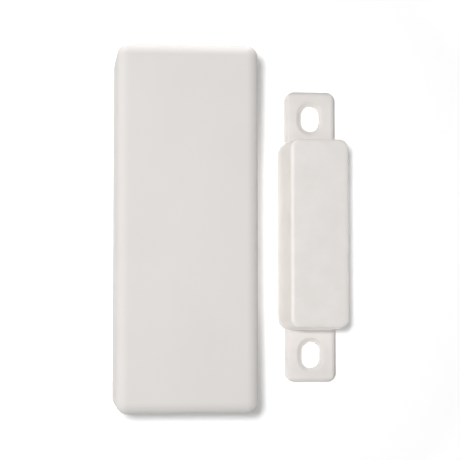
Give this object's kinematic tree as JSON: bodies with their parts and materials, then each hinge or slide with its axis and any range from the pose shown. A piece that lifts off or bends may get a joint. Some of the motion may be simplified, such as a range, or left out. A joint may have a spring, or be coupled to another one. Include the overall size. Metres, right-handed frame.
{
  "type": "wireless door and window contact with magnet half",
  "caption": "Off-white snap-together alarm transmitter with a reed switch, lithium cell and radio board inside, and a matching magnet half with two slotted screw ears.",
  "frame": {"origin": "centre of the transmitter's back face, on the wall plane", "axes": "+Z out of the wall, +Y up along the frame (the long way), +X from the transmitter to the magnet half"},
  "size_m": [0.0532, 0.081, 0.022],
  "materials": {
    "housing_plastic": "off-white moulded ABS, fine matt texture",
    "magnet_plastic": "off-white moulded ABS, slightly translucent in the ears",
    "board_laminate": "glass-epoxy laminate with green solder mask",
    "zinc_steel": "bright zinc plate",
    "cell_can": "plain shrink sleeve over a nickel-plated can",
    "spring_steel": "nickel-plated spring steel",
    "reed_glass": "clear greenish sealing glass",
    "reed_alloy": "tinned nickel-iron",
    "switch_body": "black moulded nylon",
    "button_plastic": "black moulded plunger",
    "terminal_plastic": "green moulded polyamide",
    "clamp_brass": "tinned brass",
    "aerial_wire": "tinned copper wire",
    "chip_epoxy": "moulded epoxy with tinned leads",
    "crystal_can": "nickel-plated can",
    "capacitor_can": "bare aluminium can on a black foot",
    "choke_ferrite": "moulded ferrite",
    "led_resin": "clear resin over a white carrier",
    "resistor_ceramic": "black film on ceramic, tinned ends",
    "capacitor_ceramic": "tan ceramic, tinned ends",
    "ferrite": "sintered ferrite, ground faces"
  },
  "bodies": {
    "transmitter": {"base": "housing_plastic", "circuit_board": "board_laminate", "board_screws": "zinc_steel", "battery": "cell_can", "battery_clip_positive": "spring_steel", "battery_clip_negative": "spring_steel", "reed_glass": "reed_glass", "reed_lead_upper": "reed_alloy", "reed_lead_lower": "reed_alloy", "tamper_spring": "spring_steel", "learn_button_body": "switch_body", "terminal_block": "terminal_plastic", "terminal_screws": "zinc_steel", "terminal_clamps": "clamp_brass", "aerial": "aerial_wire", "microcontroller": "chip_epoxy", "radio_chip": "chip_epoxy", "crystal": "crystal_can", "electrolytic_capacitor": "capacitor_can", "inductor": "choke_ferrite", "status_led": "led_resin", "chip_resistors": "resistor_ceramic", "chip_capacitors": "capacitor_ceramic"},
    "front_cover": {"cover": "housing_plastic"},
    "learn_plunger": {"learn_button": "button_plastic"},
    "magnet_half": {"magnet_case": "magnet_plastic", "bar_magnet": "ferrite", "magnet_retainer": "magnet_plastic"}
  },
  "joints": [
    {"name": "cover_lift", "type": "slide", "parent": "transmitter", "child": "front_cover", "axis": [0, 0, 1], "range_m": [0, 0.035], "deforming": ["tamper_spring"]},
    {"name": "learn_button_press", "type": "slide", "parent": "transmitter", "child": "learn_plunger", "axis": [0, 0, -1], "range_m": [0, 0.00025], "stiffness_N_per_m": 800},
    {"name": "magnet_travel", "type": "slide", "parent": "transmitter", "child": "magnet_half", "axis": [1, 0, 0], "range_m": [0, 0.03]}
  ]
}
